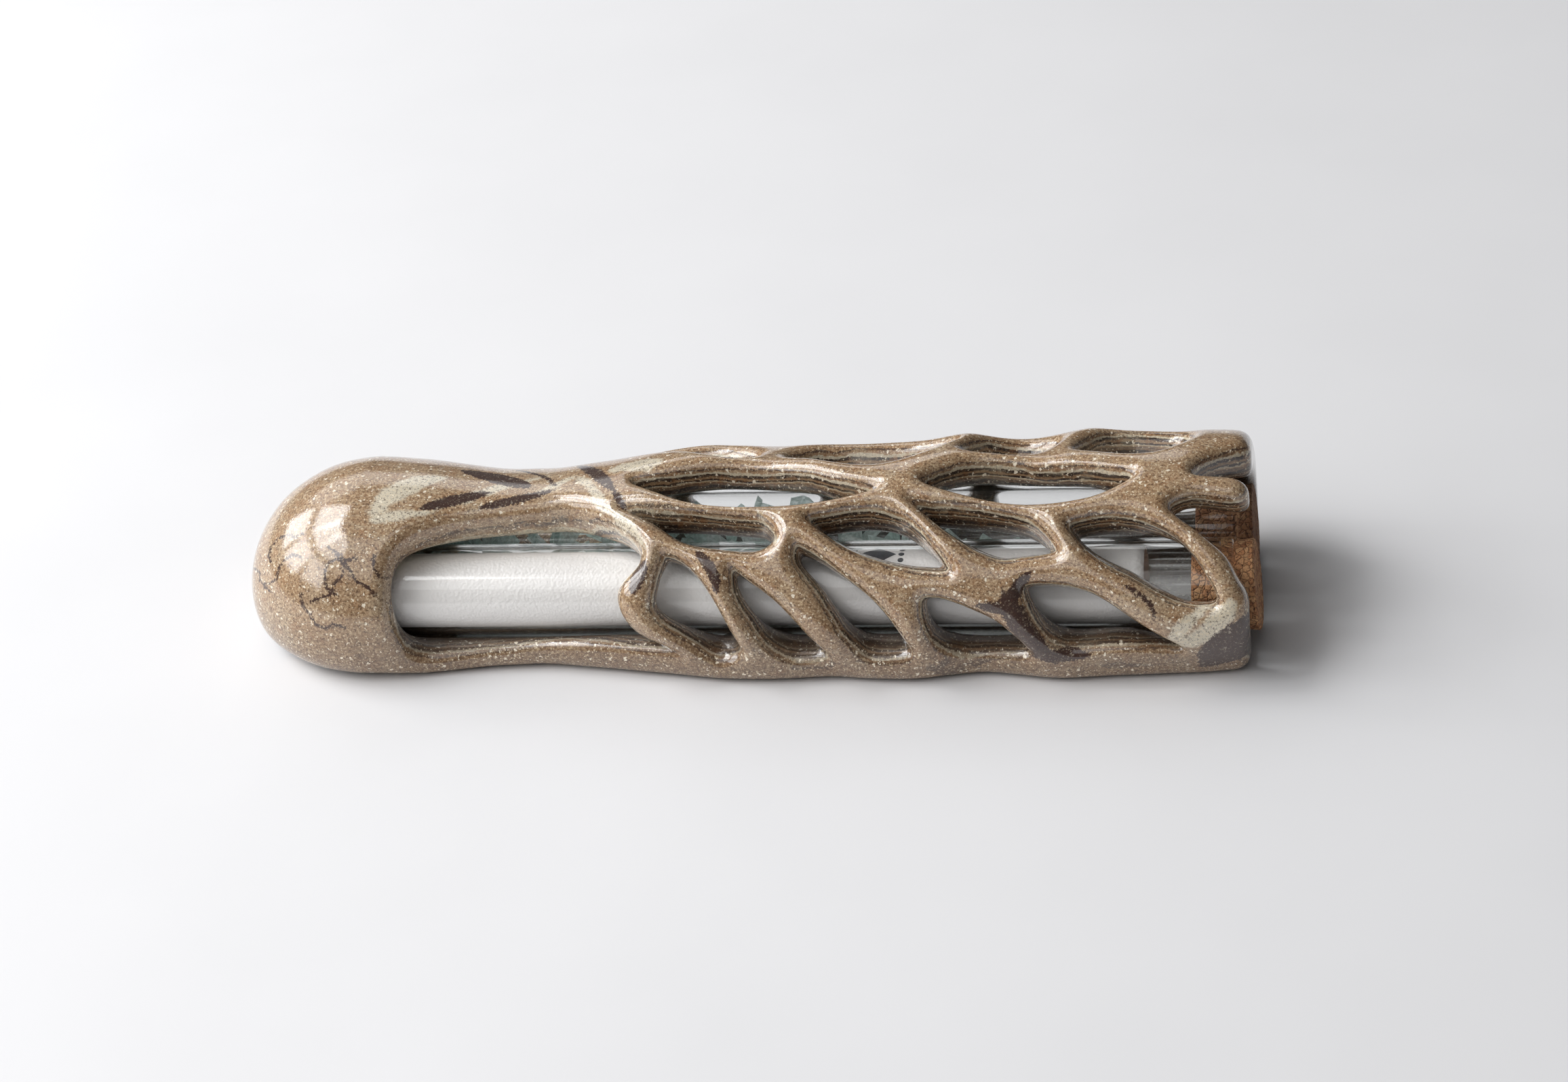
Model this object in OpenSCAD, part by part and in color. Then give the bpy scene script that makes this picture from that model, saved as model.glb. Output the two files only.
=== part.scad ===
// Pierced ceramic mezuzah case that holds two corked glass tubes side by side.
// The case lies on its flat open back: +X runs towards the open end, +Y across, +Z out of the wall.
// The origin is at the middle of the footprint, on the plane of the back.

/* [Case] */
// Overall length, from the round head to the outer end of the longer cork
overall_l = 158; // [154:1:164]
// Height of the case's turning axis above its flat back
axis_h = 6.5; // [6.2:0.1:6.8]
// Thickness of the ceramic wall at the crown; the tubes' seats leave less at the sides
wall_t = 7.5; // [6.5:0.5:8]
// Radius of the round head at its widest
head_r = 19.4; // [19:0.1:20.5]
// Length of the head from its tip to its widest ring
head_l = 21; // [19:0.5:24]
// Radius at the neck behind the head
neck_r = 16.8; // [16.6:0.1:17.4]
// Radius of the body at its fullest
body_r = 21.3; // [20.8:0.1:22]
// Radius at the open end
mouth_r = 20.9; // [20.5:0.1:21.3]
// Thickness of the cross bars that close the back
base_t = 2.2; // [2:0.1:2.4]
// Half the width of the long gap in the back, between the two rails
back_gap_half_w = 9.5; // [8:0.5:10]
// How far each opening's outline is drawn in, so that the struts keep their width
strut_ease = 1.2; // [0.8:0.1:1.4]

/* [Tubes] */
// Outer diameter of both glass tubes
tube_d = 14; // [13.8:0.1:14]
// Glass wall of both tubes
glass_t = 0.8; // [0.7:0.05:0.85]
// Length of both tubes from the rim to the tip of the round end
tube_l = 139; // [138.5:0.5:140]
// Distance between the axes of the two tubes
tube_pitch = 14.6; // [14.4:0.1:14.7]
// Height of the tubes' axes above the flat back
tube_h = 9.5; // [9.5:0.05:9.6]
// Distance from the tubes' rims to the plane of the case's open end
rim_inset = 2.5; // [2:0.1:2.5]
// Radial gap between a tube and its seat in the case
seat_gap = 0.3; // [0.2:0.05:0.3]

/* [Corks] */
// Length of each cork inside its tube
cork_in_l = 6.2; // [5:0.1:7]
// Radial gap of a cork in its glass bore
cork_gap = 0.05; // [0.02:0.01:0.08]
// Length of the scroll tube's cork outside the rim
scroll_cork_out_l = 4; // [3.5:0.1:4.5]
// Length of the keepsake tube's cork outside the rim
keepsake_cork_out_l = 3; // [2.5:0.1:3.5]

/* [Scroll] */
// Height of the parchment, which is the length of the roll
scroll_l = 120; // [100:1:120]
// Outer diameter of the rolled parchment
scroll_d = 12.1; // [11:0.1:12.1]
// Thickness of the parchment
sheet_t = 0.25; // [0.2:0.05:0.3]
// Distance from one layer of the roll to the next
layer_pitch = 0.35; // [0.35:0.05:0.4]
// Number of turns in the roll
scroll_turns = 3.25; // [2.25:0.5:3.25]
// Distance from the tube's rim to the near end of the roll
scroll_inset = 12.6; // [12:0.1:13]

/* [Broken glass] */
// Number of shards in the keepsake tube, each a node of its own
shard_count = 30; // [20:1:40]
// Thickness of a shard
shard_t = 1.2; // [0.8:0.1:1.4]
// Lean of each shard away from square to the tube
shard_lean = 38; // [30:1:40]
// Distance from one shard to the next along the tube
shard_pitch = 3.3; // [2.9:0.1:3.4]

/* [Hidden] */
$fn = 96;
head_x = -overall_l / 2;                       // tip of the round head
rim_x = overall_l / 2 - scroll_cork_out_l;     // plane of both tubes' rims
mouth_x = rim_x + rim_inset;                   // plane of the open end
tube_r = tube_d / 2;
bore_r = tube_r - glass_t;
tube_end_x = rim_x - tube_l;                   // tip of the tubes' round ends
seat_r = tube_r + seat_gap;
beyond = 6;                                    // how far a cutter runs past what it cuts
scroll_y = -tube_pitch / 2;
keepsake_y = tube_pitch / 2;

// Rings of the turned outside, as distance along X and radius
rings = [
    [head_x + head_l, head_r],
    [-34, neck_r],
    [2, body_r - 1.2],
    [54, body_r],
    [mouth_x, mouth_r]
];

// Openings in the near half, each an outline of [x, angle from the crown towards -Y]
near_openings = [
    // the long window behind the head
    [[-51, 68], [-49, 38], [-42, 24], [-32, 15], [-24, 14], [-18, 24], [-13, 38],
     [-12, 50], [-15, 64], [-13, 78], [-8, 94], [-22, 97], [-38, 99], [-48, 97]],
    // the slanting lower row
    [[-11, 43], [-6, 46], [-2, 62], [1, 79], [2, 93], [-3, 98], [-8, 88], [-12, 74], [-14, 60]],
    [[1, 49], [4, 56], [8, 66], [12, 80], [15, 94], [10, 98], [6, 91], [3, 76], [1, 61]],
    [[10, 41], [13, 41], [17, 50], [22, 63], [26, 78], [28, 93], [23, 97], [18, 88], [13, 64], [9.5, 50]],
    [[29, 66], [32, 63], [37, 68], [42, 78], [45.5, 93], [41, 98], [34, 96], [30.5, 85]],
    [[44, 61], [48, 57], [55, 62], [62, 75], [67, 89], [58, 91], [51, 91], [46.5, 79]],
    // the upper row
    [[-17, 19], [-10, 19], [0, 23], [6, 28], [8.5, 38], [5, 46], [-1, 45], [-7, 40], [-13, 29]],
    [[11.5, 28], [16, 23], [22, 21], [27, 26], [31, 37], [34.5, 53], [29, 55], [23, 52], [17, 43]],
    [[27, 20], [34, 21], [42, 24], [47, 31], [50.5, 45], [45, 50], [40, 50], [33, 38]],
    [[50.5, 34], [55, 28], [61, 30], [67, 39], [71, 53], [73, 67], [68, 68], [61, 60], [54, 48]],
    // the gap between the middle branch and the near one, open to the mouth
    [[65.5, 27], [69, 20], [76, 21], [84, 22], [84, 72], [77.5, 60], [75, 48], [71, 37]]
];

// Openings across the crown and in the far half, in the same terms
far_openings = [
    [[-16, 0], [-9, -5], [-1, -8], [8, -3], [16, 5], [23, 13], [15, 21], [5, 24], [-5, 21], [-12, 11]],
    [[28.5, 9], [34, -1], [40, -4], [48, -1], [56, 4], [61, 10], [55, 21], [45, 25], [36, 21]],
    [[69, 10], [71, 0], [76, -7], [84, -8], [84, 12], [75, 12]],
    [[-16, -32], [-9, -21], [-1, -15], [3, -22], [-3, -36], [-10, -38]],
    [[7, -18], [13, -9], [22, -5], [28, -13], [32, -28], [23, -37], [12, -33]],
    [[35, -17], [40, -12], [46, -16], [49, -28], [43, -38], [37, -31]],
    [[51, -18], [57, -8], [64, -8], [69, -22], [66, -37], [56, -36]],
    // the far wall's lower row
    [[-50, -68], [-45, -52], [-32, -47], [-19, -52], [-14, -66], [-17, -88], [-32, -97], [-46, -92]],
    [[-9, -56], [-1, -50], [7, -54], [10, -72], [6, -93], [-6, -95], [-11, -76]],
    [[16, -55], [25, -50], [33, -55], [33, -74], [28, -93], [16, -95], [13, -74]],
    [[40, -58], [47, -51], [54, -56], [55, -74], [50, -92], [39, -94], [37, -76]],
    [[62, -54], [68, -52], [71, -66], [70, -90], [61, -92], [59, -72]]
];

shard_names = [for (i = [1 : shard_count]) str("shard_", i < 10 ? "0" : "", i)];

function ease(t) = t * t * (3 - 2 * t);

// Radius of the turned outside at x
function ring_r(x, i = 0) =
    x <= rings[0].x ? head_r * sqrt(max(0, 1 - pow((x - rings[0].x) / head_l, 2)))
    : i >= len(rings) - 2 || x <= rings[i + 1].x
        ? rings[i].y + (rings[i + 1].y - rings[i].y)
            * ease(min(1, (x - rings[i].x) / (rings[i + 1].x - rings[i].x)))
        : ring_r(x, i + 1);

// A point a fraction t of the way from b to c on a smooth curve through a, b, c and d
function between(a, b, c, d, t) =
    (2 * b + (c - a) * t + (2 * a - 5 * b + 4 * c - d) * t * t + (3 * b - a - 3 * c + d) * t * t * t) / 2;

// A closed smooth curve through the points, with the given number of steps from one to the next
function smooth_loop(points, steps) = [
    for (i = [0 : len(points) - 1], k = [0 : steps - 1])
        between(
            points[(i + len(points) - 1) % len(points)],
            points[i],
            points[(i + 1) % len(points)],
            points[(i + 2) % len(points)],
            k / steps
        )
];

function sum(list, i = 0) = i == len(list) - 1 ? list[i] : list[i] + sum(list, i + 1);

function middle(list) = sum(list) / len(list);

// Turns what is drawn along Z to lie along X
module along_x(x, y, z) {
    translate([x, y, z]) rotate([0, 90, 0]) children();
}

// The solid turned shape, its wall drawn in by inset
module turned(inset, x_end) {
    head_stations = [for (a = [0 : 7.5 : 82.5]) rings[0].x - (head_l - inset) * cos(a)];
    body_stations = [for (x = [rings[0].x : 4 : x_end - 2]) x];
    stations = concat(head_stations, body_stations, [x_end]);
    profile = [
        for (x = stations)
            [
                x <= rings[0].x
                    ? (head_r - inset) * sqrt(max(0, 1 - pow((x - rings[0].x) / (head_l - inset), 2)))
                    : ring_r(min(x, mouth_x)) - inset,
                x
            ]
    ];
    along_x(0, 0, axis_h)
        rotate_extrude() polygon(concat(profile, [[0, x_end]]));
}

// Room for one tube, with its round end
module tube_room(y) {
    along_x(tube_end_x + tube_r, y, tube_h) cylinder(r = seat_r, h = tube_l + beyond);
    translate([tube_end_x + tube_r, y, tube_h]) sphere(r = seat_r);
}

// Everything inside the wall: the vault over the tubes, both tubes' rooms and the space between them
module cavity() {
    intersection() {
        turned(wall_t, mouth_x + beyond);
        translate([head_x, -body_r, base_t]) cube([overall_l + beyond, 2 * body_r, 2 * body_r]);
    }
    tube_room(scroll_y);
    tube_room(keepsake_y);
    translate([tube_end_x + tube_r, scroll_y, base_t])
        cube([tube_l + beyond, tube_pitch, tube_h + seat_r - base_t]);
}

// A cutter through the wall, shaped by an outline of [x, angle]
module opening(outline) {
    turn = middle(outline).y;
    centre = [middle(outline).x, 0];
    flat = [
        for (p = smooth_loop(outline, 3))
            [p.x, -ring_r(min(p.x, mouth_x)) * sin(p.y - turn)]
    ];
    eased = [for (p = flat) p - (p - centre) * strut_ease / norm(p - centre)];
    start = neck_r / 3;                            // inside the vault, clear of the wall across from it
    translate([0, 0, axis_h]) rotate([turn, 0, 0]) translate([0, 0, start])
        linear_extrude(body_r + beyond - start) polygon(eased);
}

// The long gap in the back between the head and the cross bar, with round ends
module back_gap(x0, x1) {
    r = 4;
    w = back_gap_half_w;
    for (x = [x0 + r, x1 - r], y = [-w + r, w - r])
        translate([x, y, -1]) cylinder(r = r, h = base_t + 2);
    translate([x0 + r, -w, -1]) cube([x1 - x0 - 2 * r, 2 * w, base_t + 2]);
    translate([x0, -w + r, -1]) cube([x1 - x0, 2 * w - 2 * r, base_t + 2]);
}

module case() {
    color("tan") difference() {
        turned(0, mouth_x);
        translate([head_x - beyond, -2 * body_r, -2 * body_r])
            cube([overall_l + 2 * beyond, 4 * body_r, 2 * body_r]);
        cavity();
        for (outline = near_openings) opening(outline);
        for (outline = far_openings) opening(outline);
        back_gap(-46, -2);
        back_gap(6, 57);
    }
}

// A round-ended glass tube with a fire-polished rim
module glass_tube(y) {
    straight_l = tube_l - tube_r;
    rim = glass_t / 2;
    color("aliceblue", 0.4) along_x(rim_x - straight_l, y, tube_h) difference() {
        union() {
            cylinder(r = tube_r, h = straight_l - rim);
            sphere(r = tube_r);
            translate([0, 0, straight_l - rim])
                rotate_extrude() translate([tube_r - rim, 0]) circle(r = rim, $fn = 24);
        }
        cylinder(r = bore_r, h = straight_l + 1);
        sphere(r = bore_r);
    }
}

// A cork with a straight plug that fills the bore and a slightly wider head
module cork(y, out_l) {
    head_gap = 0.1;
    plug_r = bore_r - cork_gap;
    head_r0 = tube_r - 0.5;
    head_r1 = tube_r - 0.1;
    edge = 0.4;
    color("peru") along_x(rim_x - cork_in_l, y, tube_h)
        rotate_extrude() polygon([
            [0, 0],
            [plug_r - edge, 0],
            [plug_r, edge],
            [plug_r, cork_in_l + head_gap],
            [head_r0, cork_in_l + head_gap],
            [head_r1, cork_in_l + out_l - edge],
            [head_r1 - edge, cork_in_l + out_l],
            [0, cork_in_l + out_l]
        ]);
}

module scroll_tube() {
    glass_tube(scroll_y);
}

module keepsake_tube() {
    glass_tube(keepsake_y);
}

module scroll_cork() {
    cork(scroll_y, scroll_cork_out_l);
}

module keepsake_cork() {
    cork(keepsake_y, keepsake_cork_out_l);
}

// The parchment, rolled up from its far edge to a free edge on the outside
module scroll() {
    steps_per_turn = 32;
    steps = steps_per_turn * scroll_turns;
    inner_r = scroll_d / 2 - sheet_t - layer_pitch * scroll_turns;
    function at(i, t) = let (a = 360 * i / steps_per_turn, r = inner_r + t + layer_pitch * i / steps_per_turn)
        [r * cos(a), r * sin(a)];
    color("ivory") along_x(rim_x - scroll_inset - scroll_l, scroll_y, tube_h)
        linear_extrude(scroll_l) polygon(concat(
            [for (i = [0 : steps]) at(i, 0)],
            [for (i = [steps : -1 : 0]) at(i, sheet_t)]
        ));
}

// One shard: a flat splinter with three to six corners, leaning in the tube
module shard(index) {
    first_x = tube_end_x + 11;
    filled = 0.6;                                  // the part of the row that stands to the tube's full height
    x = first_x + shard_pitch * index;
    along = index / shard_count;
    full_r = bore_r - 1.2;
    size = full_r * (along < filled ? 0.9 : 0.9 - 1.1 * (along - filled));
    drop = along < filled ? 0.4 : full_r - size;   // the smaller ones lie on the bottom of the tube
    corners = 3 + (index * 7) % 4;
    spin = index * 137.5;
    color("lightcyan", 0.5) translate([x, keepsake_y, tube_h - drop]) rotate([0, 90 - shard_lean, 0])
        linear_extrude(shard_t, center = true) polygon([
            for (k = [0 : corners - 1])
                let (a = spin + 360 * (k + 0.25 * sin(spin * (k + 2))) / corners,
                     r = size * (0.86 + 0.14 * cos(spin * (k + 1))))
                [r * cos(a) * 0.9, r * sin(a)]
        ]);
}

case();
scroll_tube();
scroll_cork();
scroll();
keepsake_tube();
keepsake_cork();
for (i = [0 : shard_count - 1])
    shard(i);
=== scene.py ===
import math
import random

import bmesh
import bpy
import numpy as np
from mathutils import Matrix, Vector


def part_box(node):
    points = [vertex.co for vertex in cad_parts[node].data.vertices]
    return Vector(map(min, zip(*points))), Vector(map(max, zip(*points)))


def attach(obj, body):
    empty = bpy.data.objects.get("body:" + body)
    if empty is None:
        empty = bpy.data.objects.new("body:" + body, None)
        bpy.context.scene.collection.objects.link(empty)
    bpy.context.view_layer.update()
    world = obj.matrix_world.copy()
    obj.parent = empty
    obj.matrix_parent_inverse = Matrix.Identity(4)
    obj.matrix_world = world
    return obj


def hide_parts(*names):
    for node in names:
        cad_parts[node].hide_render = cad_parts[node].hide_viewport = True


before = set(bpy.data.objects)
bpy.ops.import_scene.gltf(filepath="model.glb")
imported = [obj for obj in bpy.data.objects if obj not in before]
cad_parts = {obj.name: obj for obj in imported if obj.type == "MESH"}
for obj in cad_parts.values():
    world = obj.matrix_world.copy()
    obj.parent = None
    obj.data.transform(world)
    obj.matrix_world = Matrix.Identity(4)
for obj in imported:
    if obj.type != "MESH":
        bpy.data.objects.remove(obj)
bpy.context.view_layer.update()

import openvdb as vdb
from mathutils import Matrix, Vector
from mathutils.bvhtree import BVHTree

# The pieces' lengths are in millimetres until a mesh is made, and MM turns them into metres.
# The floor, the lights and the camera's distance are in metres.
MM = 0.001
FINE = 0.38                     # grid pitch of the case's surface


def span(node):
    """Lowest and highest corner of a CAD node's box."""
    low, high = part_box(node)
    return np.array(low) / MM, np.array(high) / MM


case_low, case_high = span("case")
front_low, front_high = span("scroll_tube")
back_low, back_high = span("keepsake_tube")
roll_low, roll_high = span("scroll")
front_cork_low, front_cork_high = span("scroll_cork")
back_cork_low, back_cork_high = span("keepsake_cork")

HEAD_X, MOUTH_X = case_low[0], case_high[0]
AXIS_H = 6.5                    # height of the case's turning axis
WALL_T = 7.5
SLIM_T = 1.7                    # how much thinner the wall is past the crown and at the open end
BASE_T = 2.2                    # thickness of the flat back
HEAD_L, HEAD_R = 21.0, 19.4     # the round head's length and radius
HEAD_MID_X = HEAD_X + HEAD_L
TUBE_R = (front_high[2] - front_low[2]) / 2
TUBE_H = (front_high[2] + front_low[2]) / 2
GLASS_T = 0.8
BORE_R = TUBE_R - GLASS_T
SEAT_GAP = 0.3
SEAT_R = TUBE_R + SEAT_GAP
TIP_X, RIM_X = front_low[0], front_high[0]
FRONT_Y = (front_low[1] + front_high[1]) / 2
BACK_Y = (back_low[1] + back_high[1]) / 2
BACK_GAPS = ((-46, -2), (6, 57))    # the two gaps in the flat back, from and to along X
GAP_HALF_W = 9.5
GAP_CORNER_R = 4

# Rings of the turned outside, as distance along X and radius. They were picked by hand, and they stay
# close to what a helper program printed from the photograph.
RINGS = [
    (-58, 19.4), (-50, 18.8), (-44, 17.8), (-37, 17.0), (-30, 17.0), (-21, 18.1), (-12, 19.5), (-5, 20.1),
    (8, 20.2), (22, 20.5), (36, 20.8), (44, 20.6), (54, 21.3), (63, 21.6), (72, 21.3), (80, 20.7),
]
# The lower edge runs in and out between the feet of the struts: distance along X and radius there.
# 13 of these 16 radii are kept exactly as they were measured on the photograph, with only the
# distances rounded, and this is not put right. 13 of these 16 radii are a helper program's output,
# with the distances rounded, which a script shouldn't hold.
FOOT = [
    (-58, 19.4), (-51, 18.8), (-38, 16.6), (-30, 16.0), (-19, 17.4), (-9, 18.8), (-1, 20.0), (9, 19.9),
    (16, 19.2), (19.5, 20.0), (28, 20.2), (38, 18.3), (49, 20.1), (59, 19.2), (68, 18.8), (80, 18.0),
]

# Openings of the near half, each an outline of (x, angle from the crown towards -Y). The points were
# picked and rounded by hand from longer outlines that a helper program measured on the photograph.
NEAR_OPENINGS = [
    [(-53, 68), (-51.5, 40), (-44, 24), (-32, 14.5), (-25, 13), (-19, 22), (-13, 38),
     (-12.5, 50), (-16, 64), (-14, 80), (-7, 95), (-22, 97), (-38, 102), (-50, 99)],
    [(-9.5, 42), (-5.5, 47), (-2, 60), (1, 79), (2.3, 93), (-2, 99), (-7.2, 87), (-11.6, 73),
     (-11.4, 58), (-10.4, 47)],
    [(1, 49), (4.5, 56), (8.5, 66), (12.5, 81), (15.3, 95), (10, 98), (6, 91), (3, 77), (0.5, 60)],
    [(10.5, 39), (13.5, 42), (18, 52), (23, 65), (26.5, 80), (28, 94), (22, 97), (18.5, 90),
     (14, 66), (10, 50)],
    [(29, 66), (32, 63), (37, 68), (42, 77), (46, 94), (41, 99), (34, 97), (30, 85)],
    [(44, 61), (48, 57), (55, 61), (62, 75), (68, 91), (58, 91), (51, 92), (46.5, 81)],
    [(-17, 19), (-10, 19.5), (0, 23), (6, 27), (8.3, 38), (5, 46), (-1, 45), (-7, 41), (-12, 30)],
    [(11.5, 28), (16, 23), (22, 21), (27, 26), (31, 38), (34.5, 54), (29, 55), (23, 51), (17, 43)],
    [(27, 19.5), (34, 21), (42, 24.5), (47, 31), (50.5, 46), (45, 50), (40, 50), (33, 38)],
    [(50.5, 33), (55, 28), (61, 29), (67, 38), (71, 52), (73.2, 68), (68, 69), (61, 60), (54, 48)],
    [(65.5, 27), (69, 20), (76, 22), (84, 23), (84, 72), (77, 62), (74, 49), (70, 38.5)],
]
# Openings across the crown and in the far half, in the same terms. The lowest row is a guess.
FAR_OPENINGS = [
    [(-16, 0), (-9, -5), (-1, -8), (8, -3), (16, 5), (23, 13), (15, 21), (5, 23.5), (-5, 21), (-12, 11)],
    [(28.5, 9), (34, -2), (40, -5), (48, -1), (56, 4), (61, 10), (55, 22), (45, 25), (36, 20)],
    [(69, 10), (71, 0), (76, -8), (84, -9), (84, 12), (75, 12)],
    [(-16, -32), (-9, -21), (-1, -14), (3, -22), (-3, -36), (-10, -38)],
    [(7, -18), (13, -8), (20, -2), (25, -5), (31, -18), (33, -28), (23, -37), (12, -33)],
    [(34, -14), (40, -9.5), (46, -14), (49, -28), (43, -38), (37, -31)],
    [(51, -14), (57, -5), (64, -5), (69, -20), (66, -37), (56, -36)],
    [(-50, -68), (-45, -52), (-32, -47), (-19, -52), (-14, -66), (-17, -88), (-32, -97), (-46, -92)],
    [(-9, -56), (-1, -50), (7, -54), (10, -72), (6, -93), (-6, -95), (-11, -76)],
    [(16, -55), (25, -50), (33, -55), (33, -74), (28, -93), (16, -95), (13, -74)],
    [(40, -58), (47, -51), (54, -56), (55, -74), (50, -92), (39, -94), (37, -76)],
    [(62, -54), (68, -52), (71, -66), (70, -90), (61, -92), (59, -72)],
]
INSET = 0.4                     # how far inside the outlines, which follow the ridges, the cut lies
TAPER = 0.24                    # how much narrower the openings grow with each millimetre of depth
CORE_R = 5.6                    # the openings stop this far from the turning axis
# How widely edges are rounded
EASE = 2.3                      # the struts
MOUTH_EASE = 2.6                # the open end
INSIDE_EASE = 1.6               # where the inside meets the outside
GAP_EASE = 1.4                  # the gaps in the flat back
VAULT_EASE = 1.2                # where the vault meets the tubes' seats

# Humps and dips of the far struts: x, angle, length along the case and height
HUMPS = [
    (-8, -32, 6, 0.9), (4, -14, 6, -0.7), (34.6, -28, 5, 0.7),
    (46, -14, 5, -0.8), (55, -34, 8, 0.8), (75, -26, 6, 0.4),
]
HUMP_ANGLE = 16                 # how far round the case each of them reaches

ANGLE_STEP = 0.5                # degrees from one column of the case's tables to the next
FIELD_REACH = 3.0               # the distance field holds no distance greater than this
HALF_TURN, WHOLE_TURN = 3.14, 6.28      # the widest random angles, in radians

STROKE_PARTS = 10               # straight parts in each painted stroke
CRACK_W = 0.02                  # half width of the cracks on the head
CRACK_STEP = 1.8                # length of each straight part of a crack
CRACK_PARTS = 6
CRACK_BEND = 0.9                # the sharpest turn between two parts, in radians
DEGREE_MM = math.radians(1) * HEAD_R


def stroke(x0, angle0, x1, angle1, bow, width):
    """Points of (x, angle, half width) on a stroke that bows along the case and tapers to both ends."""
    points = []
    for k in range(STROKE_PARTS + 1):
        t = k / STROKE_PARTS
        swell = max(math.sin(math.pi * t), 0)
        x = x0 + (x1 - x0) * t + bow * swell
        points.append((x, angle0 + (angle1 - angle0) * t, width * swell ** 0.6))
    return points


def crack(rng, x, angle):
    """A thin line that wanders from (x, angle)."""
    heading = rng.uniform(0, 2 * math.pi)
    points = [(x, angle, CRACK_W)]
    for _ in range(CRACK_PARTS):
        heading += rng.uniform(-CRACK_BEND, CRACK_BEND)
        x += CRACK_STEP * math.cos(heading)
        angle += CRACK_STEP * math.sin(heading) / DEGREE_MM
        points.append((x, angle, CRACK_W))
    return points


# Chocolate veins on the outside, set in whole millimetres and degrees
VEINS = [
    # the neck
    stroke(-44, -16, -32, 0, 1, 1.6),
    stroke(-48, 20, -38, 5, 0, 1.0),
    stroke(-39, 16, -28, 4, 0, 0.7),
    stroke(-36, -25, -28, 0, 1, 0.2),
    stroke(-26, -25, -18, 10, 0, 0.9),
    stroke(-18, 10, -16, 20, 0, 0.4),
    # the struts
    stroke(-12, 48, -14, 62, 0, 0.9),
    stroke(-4, 44, -1, 62, 1, 0.7),
    stroke(46, 54, 43, 72, -1, 0.7),
    stroke(38, 68, 45, 70, 0, 0.7),
    stroke(42, 62, 49, 96, -1, 1.5),
    stroke(44, 92, 54, 92, 0, 0.8),
    stroke(60, 60, 64, 72, 1, 0.1),
    # the far side
    stroke(-70, -40, -50, -96, 0, 0.2),
    stroke(12, -44, 14, -100, 2, 1.0),
    stroke(36, -40, 34, -84, 0, 0.5),
    stroke(74, -60, 75, -98, -2, 0.9),
]
# stripes round the corner at the open end
VEINS += [stroke(79, 72 + 7 * k, 70, 93 + 3 * k, -1, 1.0) for k in range(4)]
# fine cracks on the head, each wandering from its own start
crack_rng = random.Random(5)
VEINS += [crack(crack_rng, x, angle) for x in (-72, -66, -60, -54) for angle in (44, 62)]

# Cream patches on the outside, set in the same way
CREAMS = [
    stroke(-55, 25, -45, -6, -2, 1.8),
    stroke(-55, 27, -46, 21, 0, 0.8),
    stroke(-46, 20, -30, -12, 0, 0.9),
    stroke(-32, 10, -25, -8, 0, 0.8),
    stroke(-25, -8, -19, 18, 0, 0.8),
    stroke(-20, -9, -12, -9, 0, 1.7),
    stroke(-21, 16, -12, 42, 1, 0.6),
    stroke(5, 26, 8, 40, 0, 0.5),
    stroke(66, 88, 75, 66, 2, 1.6),
    stroke(65, 85, 72, 67, 0, 0.8),
    stroke(-60, -40, -30, -42, 0, 1.2),
    stroke(34, -44, 33, -98, 2, 0.8),
]
# Swells of the clay's layers, which lift other layers to the surface: x, angle, lengths along and
# round, and height
SWELLS = [
    (78, 90, 4, 4, 1.6), (60, 99, 7, 1.8, 1.2), (34, 101, 6, 2.5, 1.0), (14, 99, 7, 2.0, 1.0),
    (-56, -70, 8, 8, 1.6), (20, -100, 9, 4, 1.6), (58, -98, 8, 4, 2.0),
]


# ---------------------------------------------------------------- the case's shape

def smooth_through(points, xs, spread=1.6):
    """Heights at xs on a softened line through the points."""
    step = 0.25
    fine = np.arange(points[0][0], points[-1][0] + step, step)
    heights = np.interp(fine, [p[0] for p in points], [p[1] for p in points])
    reach = np.arange(-3 * spread, 3 * spread + step, step)
    kernel = np.exp(-0.5 * (reach / spread) ** 2)
    kernel /= kernel.sum()
    padded = np.pad(heights, len(reach) // 2, mode="edge")
    soft = np.convolve(padded, kernel, mode="valid")[: len(fine)]
    return np.interp(xs, fine, soft)


def smax(a, b, k):
    """The larger of two distances, with the corner between them rounded over k."""
    h = np.clip(k - np.abs(a - b), 0, None) / k
    return np.maximum(a, b) + h * h * k * 0.25


def smooth_loop(points):
    """A closed smooth curve through the points."""
    steps = 8
    p = np.array(points, float)
    a, b, c, d = np.roll(p, 1, 0), p, np.roll(p, -1, 0), np.roll(p, -2, 0)
    t = (np.arange(steps) / steps)[None, :, None]
    a, b, c, d = a[:, None], b[:, None], c[:, None], d[:, None]
    square = 2 * a - 5 * b + 4 * c - d
    cube = 3 * b - a - 3 * c + d
    curve = (2 * b + (c - a) * t + square * t ** 2 + cube * t ** 3) / 2
    return curve.reshape(-1, 2)


def segment_distance(px, py, ax, ay, bx, by):
    """Distance from the points (px, py) to the straight line from a to b."""
    dx, dy = bx - ax, by - ay
    t = np.clip(((px - ax) * dx + (py - ay) * dy) / (dx * dx + dy * dy + 1e-12), 0, 1)
    return np.hypot(px - ax - t * dx, py - ay - t * dy)


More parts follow.
